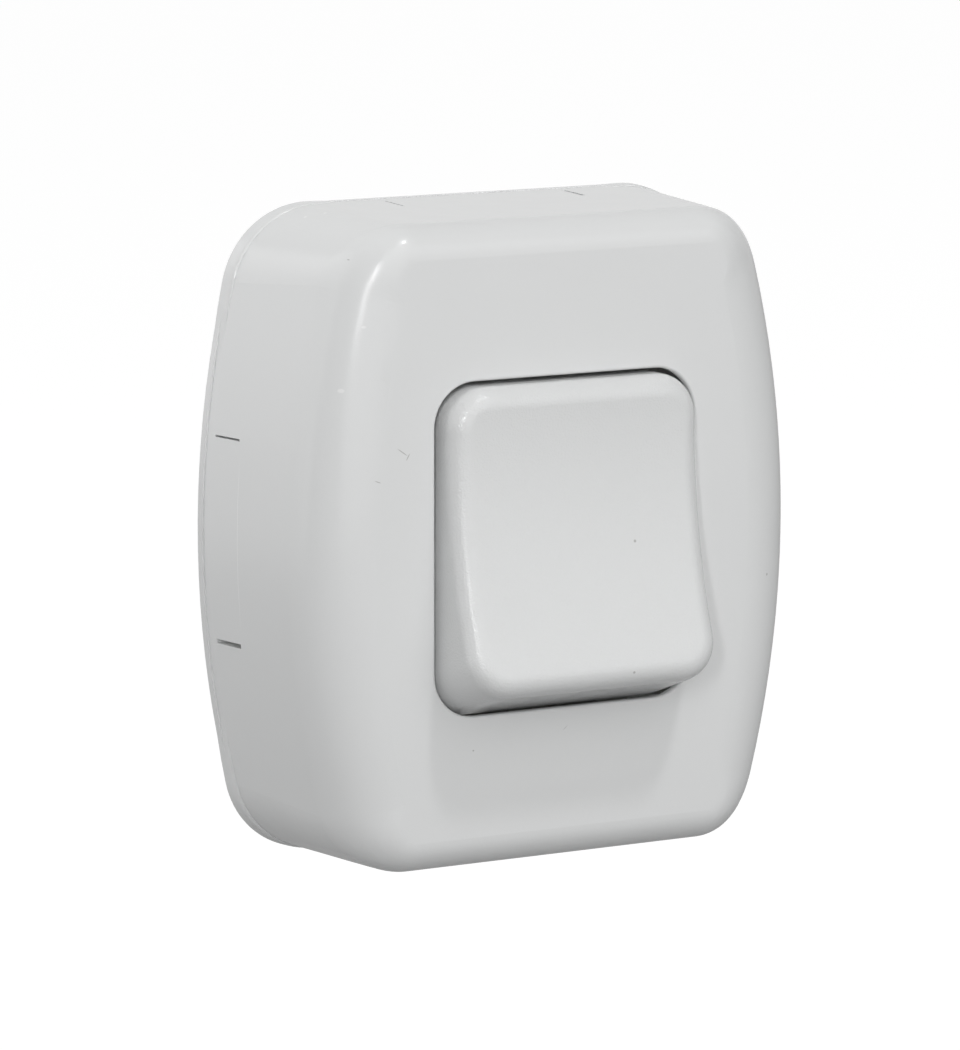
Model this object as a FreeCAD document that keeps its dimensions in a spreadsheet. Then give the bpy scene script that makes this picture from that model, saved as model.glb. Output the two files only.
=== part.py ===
"""Surface mounted two-way light switch with one wide rocker.

Frame: the wall plane is Y = 0, the front faces -Y, +X is to the right seen from the front and +Z is up.
The origin is the centre of the back face, on the wall. A depth is a distance from the wall, so Y = -depth.
"""

import FreeCAD, Part
import math
import os

import Sketcher

os.makedirs("parts", exist_ok=True)

doc = FreeCAD.newDocument("LightSwitch")
sheet = doc.addObject("Spreadsheet::Sheet", "Sizes")

# Driving dimensions, millimetres and degrees

DRIVING = [
    ("case_width", 60.0, "cover, widest point at the wall"),
    ("case_height", 65.0, "cover, at the wall"),
    ("case_depth", 20.8, "wall to the front face of the cover"),
    ("side_arc", 104.6, "radius of the bulging side arcs"),
    ("side_taper", 3.05, "each side leans in by this much over the depth"),
    ("end_taper", 0.68, "top and bottom lean in by this much over the depth"),
    ("back_corner", 9.65, "outline corner radius at the wall"),
    ("front_corner", 7.5, "outline corner radius at the front"),
    ("side_round", 6.8, "edge radius down the sides of the front face"),
    ("end_round", 3.3, "edge radius along its top and bottom"),
    ("rim_height", 1.0, "straight rim at the wall edge of the cover"),
    ("wall", 1.8, "cover wall thickness"),
    ("opening_width", 29.2, "rocker opening in the cover"),
    ("opening_height", 33.1, "rocker opening in the cover"),
    ("opening_corner", 4.45, "corner radius of the opening"),
    ("opening_edge", 0.3, "edge radius of the opening"),
    ("opening_lip", 0.8, "thickness of the lip round the opening"),
    ("opening_relief", 0.5, "opening is wider than its lip behind it, each side"),
    ("inner_cut", 0.7, "flat of a cavity edge as a share of the rounding inside it"),
    ("panel_width", 20.5, "break-out panel for 20 mm surface duct"),
    ("panel_height", 6.45, "break-out panel, from the wall"),
    ("panel_skin", 0.9, "wall left over the break-out panel"),
    ("slit_start", 2.35, "slit beside a panel, from the wall"),
    ("slit_gap", 0.45, "wider slit beside each panel"),
    ("slit_fine", 0.2, "narrower slit on its other side"),
    ("post_diameter", 4.5, "post inside the cover that stands on the base plate"),
    ("post_x", 18.6, "posts left and right of the middle"),
    ("post_z", 21.6, "posts above and below the middle"),
    ("plate_thickness", 2.2, "base plate"),
    ("plate_gap", 0.25, "base plate to cover wall"),
    ("hook_width", 5.4, "snap hook on the base plate"),
    ("hook_thickness", 1.5, "snap hook"),
    ("hook_reach", 8.6, "top of a hook, from the wall"),
    ("hook_catch", 0.7, "how far a hook stands out into the cover"),
    ("hook_spread", 14.2, "hooks left and right of the middle"),
    ("hook_barb", 2.0, "height of a hook's barb"),
    ("hook_lead", 0.45, "flat tip of a hook's barb, before its slope"),
    ("screw_margin", 1.25, "wall screw slot to the end of the base plate"),
    ("screw_slot_width", 3.8, "wall screw slot"),
    ("screw_slot_length", 7.4, "wall screw slot"),
    ("entry_width", 9.6, "cable entry in the base plate"),
    ("entry_height", 18.0, "cable entry in the base plate"),
    ("entry_margin", 2.95, "cable entry to the side of the base plate"),
    ("entry_corner", 3.0, "cable entry corner radius"),
    ("block_width", 25.0, "mechanism block"),
    ("block_height", 40.0, "mechanism block"),
    ("block_top", 11.6, "front of the mechanism block, from the wall"),
    ("block_floor", 2.0, "floor of the mechanism block"),
    ("chamber_width", 9.2, "contact chamber round the lever"),
    ("chamber_height", 21.6, "contact chamber round the lever"),
    ("terminal_width", 7.6, "terminal chamber"),
    ("terminal_height", 8.2, "terminal chamber, open at the block's end"),
    ("lower_shift", 5.2, "lower terminals left and right of the middle"),
    ("channel_reach", 9.4, "channel for the common strip, from the middle"),
    ("channel_head", 3.0, "top of that channel above the middle"),
    ("stop_width", 3.0, "rocker stops on the block"),
    ("stop_gap", 0.2, "rocker's skirt to its stop at the end of travel"),
    ("cheek_thickness", 1.6, "cheek that carries the rocker"),
    ("cheek_height", 9.0, "cheek, across the pin"),
    ("cheek_cap", 2.3, "cheek above the pin's axis"),
    ("pivot_depth", 17.6, "rocker axis, from the wall"),
    ("pivot_diameter", 3.0, "rocker pins"),
    ("pivot_fit", 0.05, "radial clearance of pins and plunger"),
    ("rocker_tilt", 10.0, "rocker from its middle position, each way"),
    ("rocker_gap", 0.5, "rocker to opening, each side"),
    ("rocker_lift", 3.6, "middle of the rocker's face above the cover"),
    ("rocker_hollow", 60.0, "radius of the rocker's concave face"),
    ("rocker_draft", 9.1, "rocker's top and bottom walls, degrees"),
    ("rocker_side_draft", 4.0, "rocker's side walls, degrees"),
    ("rocker_end_gap", 0.78, "rocker to opening, above and below, at mid travel"),
    ("rocker_corner", 4.2, "rocker's outline corner radius"),
    ("rocker_edge", 2.0, "edge radius of the rocker's face"),
    ("rocker_wall", 1.5, "rocker wall thickness"),
    ("rocker_skirt", 2.0, "skirt behind the rocker axis"),
    ("boss_diameter", 6.4, "plunger boss on the rocker"),
    ("boss_reach", 3.6, "plunger boss behind the rocker axis"),
    ("plunger_diameter", 3.2, "plunger"),
    ("plunger_tail", 1.6, "plunger's back end behind the rocker axis"),
    ("spring_wire", 0.36, "plunger spring wire"),
    ("spring_turns", 5.0, "plunger spring turns"),
    ("lever_axis", 8.6, "contact lever axis, from the wall"),
    ("lever_width", 5.2, "contact lever"),
    ("lever_length", 17.6, "contact lever"),
    ("lever_thickness", 0.8, "contact lever"),
    ("lever_tilt", 8.0, "contact lever from its middle position, each way"),
    ("lever_pin", 1.2, "lever pins in the forks"),
    ("lever_gap", 0.1, "plunger to lever at mid travel, and contact to contact"),
    ("contact_arm", 7.2, "contacts from the lever axis"),
    ("contact_diameter", 3.0, "contact rivet head"),
    ("contact_shank", 1.5, "contact rivet shank"),
    ("contact_head", 0.9, "contact rivet head height"),
    ("contact_dome", 4.0, "dome radius of the moving contacts"),
    ("strip_thickness", 1.2, "terminal strips"),
    ("strip_width", 6.0, "terminal strips"),
    ("fork_gap", 0.3, "lever to fork, each side"),
    ("fork_thickness", 1.0, "forks of the common terminal"),
    ("clamp_size", 6.4, "clamp plate"),
    ("clamp_thickness", 1.2, "clamp plate"),
    ("terminal_screw_diameter", 3.5, "terminal screw"),
    ("terminal_screw_head", 5.8, "terminal screw head"),
    ("terminal_screw_head_height", 2.1, "terminal screw head"),
    ("terminal_screw_tip", 2.6, "terminal screw tip, from the wall"),
    ("fixing_diameter", 2.9, "mechanism screw"),
    ("fixing_head", 5.4, "mechanism screw head"),
    ("fixing_head_height", 2.0, "mechanism screw head"),
    ("fixing_tip", 0.9, "mechanism screw tip, from the wall"),
    ("fixing_boss", 6.6, "boss under a mechanism screw"),
    ("fixing_boss_height", 3.0, "boss above the base plate"),
    ("fixing_seat", 2.2, "block under the mechanism screw's head"),
    ("fixing_x", 8.7, "mechanism screws from the middle"),
    ("fixing_high", 13.2, "upper mechanism screw above the middle"),
    ("fixing_low", 4.5, "lower mechanism screw below the middle"),
    ("screw_fit", 0.05, "screw in its hole, radial"),
    ("hole_fit", 0.2, "free hole round a shank or boss, radial"),
    ("slot_width", 0.8, "screwdriver slots"),
    ("slot_depth", 1.0, "screwdriver slots"),
]

for row, (name, number, meaning) in enumerate(DRIVING, start=1):
    sheet.set(f"A{row}", name)
    sheet.set(f"B{row}", str(number))
    sheet.setAlias(f"B{row}", name)
    sheet.set(f"C{row}", meaning)
doc.recompute()


class Size:
    """A dimension: its present number, and the expression that ties it to the sheet."""

    def __init__(self, number, text):
        self.number = float(number)
        self.text = text

    def __add__(self, other):
        other = as_size(other)
        return Size(self.number + other.number, f"({self.text} + {other.text})")

    def __sub__(self, other):
        other = as_size(other)
        return Size(self.number - other.number, f"({self.text} - {other.text})")

    def __mul__(self, other):
        other = as_size(other)
        return Size(self.number * other.number, f"({self.text} * {other.text})")

    def __truediv__(self, other):
        other = as_size(other)
        return Size(self.number / other.number, f"({self.text} / {other.text})")

    def __neg__(self):
        return Size(-self.number, f"(0 - {self.text})")


def as_size(value):
    return value if isinstance(value, Size) else Size(value, str(value))


def tangent(angle):
    return Size(math.tan(math.radians(angle.number)), f"tan({angle.text} * 1 deg)")


def sine(angle):
    return Size(math.sin(math.radians(angle.number)), f"sin({angle.text} * 1 deg)")


def cosine(angle):
    return Size(math.cos(math.radians(angle.number)), f"cos({angle.text} * 1 deg)")


def root(value):
    return Size(math.sqrt(value.number), f"sqrt({value.text})")


class Sizes:
    """The driving dimensions by name."""

    def __init__(self):
        for name, number, _ in DRIVING:
            setattr(self, name, Size(getattr(sheet, name), f"Sizes.{name}"))


S = Sizes()
ZERO = as_size(0)


def bind(item, path, value):
    item.setExpression(path, as_size(value).text)


# Sketch helpers


def new_body(label):
    body = doc.addObject("PartDesign::Body", label)
    body.Label = label
    return body


def origin_plane(body, role):
    return next(f for f in body.Origin.OriginFeatures if f.Role == role)


def new_sketch(body, name, role="XZ_Plane", offset=ZERO):
    """A sketch on one of the body's own planes; on XZ_Plane an offset is a depth."""
    sketch = body.newObject("Sketcher::SketchObject", name)
    sketch.AttachmentSupport = [(origin_plane(body, role), "")]
    sketch.MapMode = "FlatFace"
    sketch.AttachmentOffset = FreeCAD.Placement(
        FreeCAD.Vector(0, 0, offset.number), FreeCAD.Rotation()
    )
    bind(sketch, "AttachmentOffset.Base.z", offset)
    return sketch


def constrain(sketch, kind, *parts, value=None):
    """Adds a constraint and, where it has a value, ties that to the sheet."""
    if value is None:
        return sketch.addConstraint(Sketcher.Constraint(kind, *parts))
    index = sketch.addConstraint(Sketcher.Constraint(kind, *parts, value.number))
    bind(sketch, f"Constraints[{index}]", value)
    return index


def pin_point(sketch, edge, end, x, z):
    """Fixes one end of an edge at x, z from the sketch's origin."""
    constrain(sketch, "DistanceX", -1, 1, edge, end, value=as_size(x))
    constrain(sketch, "DistanceY", -1, 1, edge, end, value=as_size(z))


def polygon(sketch, points, rounds=None):
    """A closed outline through points given as sizes.

    Edges are straight, apart from those numbered in rounds, which are arcs of that radius, or
    half circles where it is None, bulging to the right of their direction.
    """
    rounds = rounds or {}
    spots = [FreeCAD.Vector(as_size(x).number, as_size(z).number, 0) for x, z in points]
    first = sketch.GeometryCount
    for i, (a, b) in enumerate(zip(spots, spots[1:] + spots[:1])):
        if i in rounds:
            half = (b - a).Length / 2
            radius = rounds[i].number if rounds[i] else half
            sagitta = radius - math.sqrt(radius * radius - half * half)
            aside = (b - a).cross(FreeCAD.Vector(0, 0, 1)).normalize()
            middle = (a + b) * 0.5 + aside * sagitta
            sketch.addGeometry(Part.Arc(a, middle, b), False)
        else:
            sketch.addGeometry(Part.LineSegment(a, b), False)
    # the ends of an arc swap when it runs clockwise
    ends = []
    for i, spot in enumerate(spots):
        start = sketch.getPoint(first + i, 1)
        ends.append((1, 2) if (start - spot).Length < 1e-6 else (2, 1))
    count = len(points)
    for i, (x, z) in enumerate(points):
        before = (i - 1) % count
        smooth = i in rounds and rounds[i] is None
        kind = "Tangent" if smooth else "Coincident"
        constrain(sketch, kind, first + before, ends[before][1], first + i, ends[i][0])
        pin_point(sketch, first + i, ends[i][0], x, z)
        if i in rounds and not smooth:
            constrain(sketch, "Radius", first + i, value=rounds[i])


def slot(sketch, x, z, length, width):
    """An upright slot with round ends, its middle at x, z."""
    x, z, length, width = (as_size(value) for value in (x, z, length, width))
    run = (length - width) / 2
    left, right = x - width / 2, x + width / 2
    corners = [(right, z - run), (right, z + run), (left, z + run), (left, z - run)]
    polygon(sketch, corners, {1: None, 3: None})


def rectangle(sketch, x, z, width, height):
    """A rectangle of straight edges about the point x, z."""
    x, z, width, height = (as_size(value) for value in (x, z, width, height))
    left, right = x - width / 2, x + width / 2
    low, high = z - height / 2, z + height / 2
    polygon(sketch, [(left, low), (right, low), (right, high), (left, high)])


def circle(sketch, x, z, diameter):
    x, z, diameter = (as_size(value) for value in (x, z, diameter))
    centre = FreeCAD.Vector(x.number, z.number, 0)
    normal = FreeCAD.Vector(0, 0, 1)
    edge = sketch.addGeometry(Part.Circle(centre, normal, diameter.number / 2), False)
    constrain(sketch, "Radius", edge, value=diameter / 2)
    pin_point(sketch, edge, 3, x, z)


def rounded(sketch, width, height, corner, bulge=None, x=ZERO, z=ZERO):
    """An outline with rounded corners, whose two sides may be arcs of the radius bulge.

    The width is the widest one; the top and bottom edges are straight.
    """
    x, z, width, height = (as_size(value) for value in (x, z, width, height))
    half_w, half_h = width.number / 2, height.number / 2
    r = corner.number
    shift = FreeCAD.Vector(x.number, z.number, 0)
    bulged = bulge is not None
    if bulged:
        # the corner circle touches the side arc from inside and the straight end edge
        side = bulge.number
        corner_z = half_h - r
        corner_x = half_w - side + math.sqrt((side - r) ** 2 - corner_z**2)
    else:
        corner_x, corner_z = half_w - r, half_h - r
    lean = math.atan2(corner_z, corner_x - half_w + side) if bulged else 0.0
    edges = []
    quarter = math.pi / 2
    normal = FreeCAD.Vector(0, 0, 1)
    for turn, (sx, sz) in enumerate([(1, 1), (-1, 1), (-1, -1), (1, -1)]):
        centre = FreeCAD.Vector(sx * corner_x, sz * corner_z, 0) + shift
        start, end = turn * quarter, (turn + 1) * quarter
        if turn % 2 == 0:
            start += lean
        else:
            end -= lean
        arc = Part.ArcOfCircle(Part.Circle(centre, normal, r), start, end)
        edges.append(sketch.addGeometry(arc, False))
    ends, sides = [], []
    for turn in range(4):
        a, b = edges[turn], edges[(turn + 1) % 4]
        p, q = sketch.getPoint(a, 2), sketch.getPoint(b, 1)
        if turn % 2 == 0 or not bulged:
            link = sketch.addGeometry(Part.LineSegment(p, q), False)
        else:
            sx = -1 if turn == 1 else 1
            middle = FreeCAD.Vector(sx * half_w, 0, 0) + shift
            link = sketch.addGeometry(Part.Arc(p, middle, q), False)
        (ends if turn % 2 == 0 else sides).append(link)
        constrain(sketch, "Tangent", a, 2, link, 1)
        constrain(sketch, "Tangent", link, 2, b, 1)
    for edge in edges[1:]:
        constrain(sketch, "Equal", edges[0], edge)
    constrain(sketch, "Radius", edges[0], value=corner)
    for link in ends:
        constrain(sketch, "Horizontal", link)
    constrain(sketch, "DistanceY", -1, 1, ends[0], 1, value=z + height / 2)
    constrain(sketch, "DistanceY", -1, 1, ends[1], 1, value=z - height / 2)
    if bulged:
        for link, sx in zip(sides, (-1, 1)):
            constrain(sketch, "Radius", link, value=bulge)
            pin_point(sketch, link, 3, x + (width / 2 - bulge) * sx, z)
    else:
        constrain(sketch, "Vertical", sides[0])
        constrain(sketch, "Vertical", sides[1])
        constrain(sketch, "DistanceX", -1, 1, sides[0], 1, value=x - width / 2)
        constrain(sketch, "DistanceX", -1, 1, sides[1], 1, value=x + width / 2)


# Feature helpers


def pad(body, sketch, length, reverse=False, name="Pad"):
    feature = body.newObject("PartDesign::Pad", name)
    feature.Profile = sketch
    feature.Reversed = reverse
    feature.Length = as_size(length).number
    bind(feature, "Length", length)
    return feature


def pocket(body, sketch, length=None, reverse=True, name="Pocket"):
    """Cuts along the sketch's normal when reversed, against it otherwise.

    With no length it cuts right through, both ways.
    """
    before = volume_of(body)
    feature = body.newObject("PartDesign::Pocket", name)
    feature.Profile = sketch
    if length is None:
        feature.Type = "ThroughAll"
        feature.Midplane = True
    else:
        feature.Reversed = reverse
        feature.Length = as_size(length).number
        bind(feature, "Length", length)
    if not volume_of(body) < before - 1e-6:
        raise RuntimeError(f"{body.Label}: {name} cuts nothing")
    return feature


def volume_of(body):
    doc.recompute()
    return body.Shape.Volume


def revolve(body, sketch, name="Turned"):
    """A full turn about the sketch's own vertical axis."""
    feature = body.newObject("PartDesign::Revolution", name)
    feature.Profile = sketch
    feature.ReferenceAxis = (sketch, ["V_Axis"])
    feature.Angle = 360
    return feature


def loft(body, sketches, cut=False, name="Loft"):
    kind = "PartDesign::SubtractiveLoft" if cut else "PartDesign::AdditiveLoft"
    feature = body.newObject(kind, name)
    feature.Profile = sketches[0]
    feature.Sections = sketches[1:]
    feature.Ruled = True
    return feature


def fillet(body, radius, chosen, name="Rounding"):
    """Rounds the edges of the present solid for which chosen(edge) is true."""
    doc.recompute()
    base = body.Tip
    names = [f"Edge{i}" for i, edge in enumerate(base.Shape.Edges, 1) if chosen(edge)]
    if not names:
        raise RuntimeError(f"{body.Label}: {name} finds no edge")
    feature = body.newObject("PartDesign::Fillet", name)
    feature.Base = (base, names)
    feature.Radius = as_size(radius).number
    bind(feature, "Radius", radius)
    return feature


def upright(edge):
    """True for an edge that runs mainly to the front, such as a corner between two walls."""
    box = edge.BoundBox
    return box.YLength > max(box.XLength, box.ZLength)


def place(item, x=ZERO, depth=ZERO, z=ZERO, tilt=None):
    """Puts a finished piece at x, depth, z, turned about X by tilt degrees."""
    turn = FreeCAD.Rotation(FreeCAD.Vector(1, 0, 0), tilt.number if tilt else 0.0)
    x, depth, z = as_size(x), as_size(depth), as_size(z)
    spot = FreeCAD.Vector(x.number, -depth.number, z.number)
    item.Placement = FreeCAD.Placement(spot, turn)
    bind(item, "Placement.Base.x", x)
    bind(item, "Placement.Base.y", -depth)
    bind(item, "Placement.Base.z", z)
    if tilt:
        bind(item, "Placement.Rotation.Angle", tilt)


def reach(edge, axis):
    """Lowest and highest coordinate of an edge along an axis."""
    box = edge.BoundBox
    return {"x": (box.XMin, box.XMax), "y": (box.YMin, box.YMax), "z": (box.ZMin, box.ZMax)}[axis]


def leaning(label, role, spans, across):
    """A bar lying across the object, its section given by its half size at each depth."""
    body = new_body(label)
    section = new_sketch(body, "Section", role)
    outline = [(half, -depth) for depth, half in spans]
    outline += [(-half, -depth) for depth, half in reversed(spans)]
    if role == "YZ_Plane":
        outline = [(y, z) for z, y in outline]
    polygon(section, outline)
    bar = pad(body, section, across, name="Bar")
    bar.Midplane = True
    return body


def intersect(label, pieces):
    """What all the pieces share."""
    shared = pieces[0]
    for step, piece in enumerate(pieces[1:], 2):
        result = doc.addObject("Part::Common", label if step == len(pieces) else f"{label}{step}")
        result.Base = shared
        result.Tool = piece
        shared = result
    doc.recompute()
    return shared


def fuse(label, pieces):
    result = doc.addObject("Part::MultiFuse", label)
    result.Shapes = pieces
    return result


def subtract(label, base, tool):
    result = doc.addObject("Part::Cut", label)
    result.Base = base
    result.Tool = tool
    doc.recompute()
    return result


# Cover: a barrel that narrows to the front, with soft side edges and tighter top and bottom edges


def disc(label, side, spans):
    """A turned disc whose rim is one bulging side, given by its radius at each depth."""
    body = new_body(label)
    section = new_sketch(body, "Section", "XY_Plane")
    # drawn on the far side of its axis, so that its seam stays clear of the cover
    rim = [(radius * -side, -depth) for depth, radius in spans]
    polygon(section, [(ZERO, -spans[0][0])] + rim + [(ZERO, -spans[-1][0])])
    revolve(body, section)
    place(body, x=(S.case_width / 2 - S.side_arc) * side)
    return body


def narrowing(size, taper, front, edge=None):
    """A leaning wall's size at each depth, its front edge cut off by the length edge."""
    if edge is None:
        return [(ZERO, size), (front, size - taper * front / S.case_depth)]
    start = front - edge
    return [
        (ZERO, size),
        (start, size - taper * start / S.case_depth),
        (front, size - taper * front / S.case_depth - edge),
    ]


def cover_forms(label, inset, front, side_edge=None, end_edge=None):
    """The forms whose common part is the cover, drawn in by an inset, with sharp corners."""
    sides = narrowing(S.side_arc - inset, S.side_taper, front, side_edge)
    ends = narrowing(S.case_height / 2 - inset, S.end_taper, front, end_edge)
    return [
        disc(label + "Right", 1, sides),
        disc(label + "Left", -1, sides),
        leaning(label + "Ends", "YZ_Plane", ends, S.case_width * 2),
    ]


def outline_at(depth, inset):
    """Width, height, side radius and corner radius of the cover's outline at a depth."""
    share = depth / S.case_depth
    width = S.case_width - (S.side_taper * share + inset) * 2
    height = S.case_height - (S.end_taper * share + inset) * 2
    side = S.side_arc - S.side_taper * share - inset
    corner = S.back_corner - (S.back_corner - S.front_corner) * share - inset
    return width, height, side, corner


def corner_reach(depth, radius):
    """Where the slanting line x + z that touches a rounded corner of that radius cuts the axes."""
    width, height, side, corner = outline_at(depth, ZERO)
    middle_z = height / 2 - corner
    leg = side - corner
    middle_x = width / 2 - side + root(leg * leg - middle_z * middle_z)
    return middle_x + middle_z + radius * root(as_size(2))


def soften(form, label):
    """Rounds the upright corners and the front edges, larger down the sides than along the ends."""
    result = doc.addObject("Part::Fillet", label)
    result.Base = form
    depth = S.case_depth.number
    corner_change = (S.front_corner.number - S.back_corner.number) / depth
    choices = []
    for index, edge in enumerate(form.Shape.Edges, 1):
        box = edge.BoundBox
        if box.YLength > depth / 2:
            ends = (edge.valueAt(edge.FirstParameter), edge.valueAt(edge.LastParameter))
            radii = [S.back_corner.number - corner_change * end.y for end in ends]
        elif box.YMax > -depth / 2:
            continue
        else:
            radii = [(S.side_round if box.ZMin < 0 < box.ZMax else S.end_round).number] * 2
        choices.append((index, *radii))
    result.Edges = choices
    doc.recompute()
    return result


def make_cover():
    outside = soften(intersect("CoverForm", cover_forms("Form", ZERO, S.case_depth)), "CoverOutside")

    # the cavity's front edges and corners are cut flat behind the rounded outer ones
    inner_front = S.case_depth - S.wall
    side_edge = (S.side_round - S.wall) * S.inner_cut
    end_edge = (S.end_round - S.wall) * S.inner_cut
    cavity_forms = cover_forms("Cavity", S.wall, inner_front, side_edge, end_edge)
    corners = new_body("CavityCorners")
    outlines = []
    for name, depth, radius in (
        ("Back", ZERO, S.back_corner - S.wall),
        ("Front", inner_front, S.front_corner - S.end_round),
    ):
        out = corner_reach(depth, radius)
        sketch = new_sketch(corners, name, offset=depth)
        polygon(sketch, [(out, ZERO), (ZERO, out), (-out, ZERO), (ZERO, -out)])
        outlines.append(sketch)
    loft(corners, outlines)
    cavity = intersect("Cavity", cavity_forms + [corners])

    # the wall is thinner inside the break-out panel in the middle of each side
    thinned = cover_forms("Panel", S.panel_skin, S.panel_height)
    zone = new_body("PanelZone")
    cross = new_sketch(zone, "Cross")
    arm, reach_x, reach_z = S.panel_width / 2, S.case_width / 2, S.case_height / 2
    cross_points = [
        (reach_x, -arm), (reach_x, arm), (arm, arm), (arm, reach_z), (-arm, reach_z), (-arm, arm),
        (-reach_x, arm), (-reach_x, -arm), (-arm, -arm), (-arm, -reach_z), (arm, -reach_z), (arm, -arm),
    ]
    polygon(cross, cross_points)
    pad(zone, cross, S.panel_height)
    panels = intersect("PanelRecess", thinned + [zone])

    shell = subtract("CoverShell", outside, fuse("CoverCavity", [cavity, panels]))

    body = new_body("cover")
    body.BaseFeature = shell
    doc.recompute()

    # straight rim at the wall edge, a little proud of the leaning sides
    rim = new_sketch(body, "Rim")
    for inset in (ZERO, S.panel_skin):
        width = S.case_width - inset * 2
        height = S.case_height - inset * 2
        rounded(rim, width, height, S.back_corner - inset, S.side_arc - inset)
    pad(body, rim, S.rim_height, name="RimPad")

    # the opening widens behind its lip, where the rocker's skirt swings
    for name, start, wider in (
        ("Opening", S.case_depth - S.opening_lip * 2, ZERO),
        ("OpeningRelief", S.case_depth - S.wall * 2, S.opening_relief),
    ):
        opening = new_sketch(body, name, offset=start)
        width, height = S.opening_width + wider * 2, S.opening_height + wider * 2
        rounded(opening, width, height, S.opening_corner + wider)
        length = S.case_depth * 2 if wider is ZERO else S.wall * 2 - S.opening_lip
        pocket(body, opening, length, name=name + "Cut")
    front = -S.case_depth.number
    fillet(body, S.opening_edge, lambda e: on_opening(e, front), "OpeningEdge")

    # slits beside the panels, right through the walls
    for role, name in (("YZ_Plane", "SideSlits"), ("XY_Plane", "EndSlits")):
        cuts = new_sketch(body, name, role)
        middle = -(S.slit_start + S.panel_height) / 2
        length = S.panel_height - S.slit_start
        wide, fine = S.panel_width / 2, -S.panel_width / 2
        if role == "YZ_Plane":
            rectangle(cuts, middle, -wide, length, S.slit_gap)
            rectangle(cuts, middle, wide, length, S.slit_fine)
        else:
            rectangle(cuts, wide, middle, S.slit_gap, length)
            rectangle(cuts, fine, middle, S.slit_fine, length)
        pocket(body, cuts, name=name + "Cut")

    # recesses for the hooks in the top and bottom walls
    recess_low = S.hook_reach - S.hook_barb - S.plate_gap
    recess_high = S.hook_reach + S.plate_gap
    recess_reach = S.case_height / 2 - S.wall + S.hook_catch + S.plate_gap
    for side, upward in (("Top", True), ("Bottom", False)):
        cuts = new_sketch(body, side + "Recess", "XY_Plane")
        for sx in (-1, 1):
            rectangle(
                cuts,
                S.hook_spread * sx,
                -(recess_low + recess_high) / 2,
                S.hook_width + S.plate_gap * 2,
                recess_high - recess_low,
            )
        pocket(body, cuts, recess_reach, reverse=upward, name=side + "RecessCut")

    posts = new_sketch(body, "Posts", offset=S.plate_thickness)
    for sx, sz in CORNERS:
        circle(posts, S.post_x * sx, S.post_z * sz, S.post_diameter)
    pad(body, posts, S.case_depth - S.wall * 2 / 3 - S.plate_thickness, name="PostPads")
    return body


CORNERS = ((1, 1), (-1, 1), (-1, -1), (1, -1))


def on_opening(edge, front):
    box = edge.BoundBox
    flat = abs(box.YMin - front) < 1e-3 and abs(box.YMax - front) < 1e-3
    inside_x = max(abs(box.XMin), abs(box.XMax)) <= S.opening_width.number / 2 + 1e-3
    inside_z = max(abs(box.ZMin), abs(box.ZMax)) <= S.opening_height.number / 2 + 1e-3
    return flat and inside_x and inside_z


# Base plate: fixed to the wall, it carries the block and holds the cover by four hooks

fixing_places = ((S.fixing_x, S.fixing_high), (-S.fixing_x, -S.fixing_low))
plate_inset = S.wall + S.plate_gap
screw_place = S.case_height / 2 - plate_inset - S.screw_margin - S.screw_slot_length / 2
entry_place = S.case_width / 2 - plate_inset - S.entry_margin - S.entry_width / 2


def make_base_plate():
    body = new_body("base_plate")
    width, height, side, _ = outline_at(S.plate_thickness, plate_inset)
    plate = new_sketch(body, "Plate")
    rounded(plate, width, height, S.back_corner, side)
    pad(body, plate, S.plate_thickness, name="PlatePad")

    bosses = new_sketch(body, "Bosses", offset=S.plate_thickness)
    for x, z in fixing_places:
        circle(bosses, x, z, S.fixing_boss)
    pad(body, bosses, S.fixing_boss_height, name="BossPads")
    holes = new_sketch(body, "FixingHoles", offset=S.fixing_tip)
    for x, z in fixing_places:
        circle(holes, x, z, S.fixing_diameter + S.screw_fit * 2)
    deep = S.plate_thickness + S.fixing_boss_height
    pocket(body, holes, deep, name="FixingHoleCut")

    slots = new_sketch(body, "WallScrewSlots")
    for sz in (-1, 1):
        slot(slots, 0, screw_place * sz, S.screw_slot_length, S.screw_slot_width)
    pocket(body, slots, name="WallScrewCut")
    entries = new_sketch(body, "CableEntries")
    for sx in (-1, 1):
        x = entry_place * sx
        rounded(entries, S.entry_width, S.entry_height, S.entry_corner, x=x)
    pocket(body, entries, name="CableEntryCut")

    # hooks: a springy tab with a barb at its front end that leans in for the cover to slide over
    inner = S.case_height / 2 - S.wall - S.plate_gap * 2 - S.hook_thickness
    outer = inner + S.hook_thickness
    tooth = outer + S.plate_gap + S.hook_catch
    base = S.plate_thickness / 2
    ledge = S.hook_reach - S.hook_barb
    for sx in (-1, 1):
        for sz in (-1, 1):
            name = f"Hook{'Left' if sx < 0 else 'Right'}{'Low' if sz < 0 else 'High'}"
            start = S.hook_spread * sx - S.hook_width / 2
            profile = new_sketch(body, name, "YZ_Plane", start)
            points = [
                (-base, inner * sz), (-S.hook_reach, inner * sz), (-S.hook_reach, outer * sz),
                (-(ledge + S.hook_lead), tooth * sz), (-ledge, tooth * sz), (-ledge, outer * sz),
                (-base, outer * sz),
            ]
            polygon(profile, points)
            pad(body, profile, S.hook_width, name=name + "Pad")
    return body


# Mechanism block: an insulating moulding with the rocker's cheeks and the chambers for contacts and clamps

floor_depth = S.plate_thickness + S.block_floor
strip_front = floor_depth + S.strip_thickness
clamp_front = strip_front + S.clamp_thickness
fixing_head_seat = S.plate_thickness + S.fixing_boss_height + S.fixing_seat
terminal_z = S.block_height / 2 - S.terminal_height / 2
terminals = {
    "upper": (ZERO, terminal_z),
    "lower": (-S.lower_shift, -terminal_z),
    "common": (S.lower_shift, -terminal_z),
}

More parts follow.
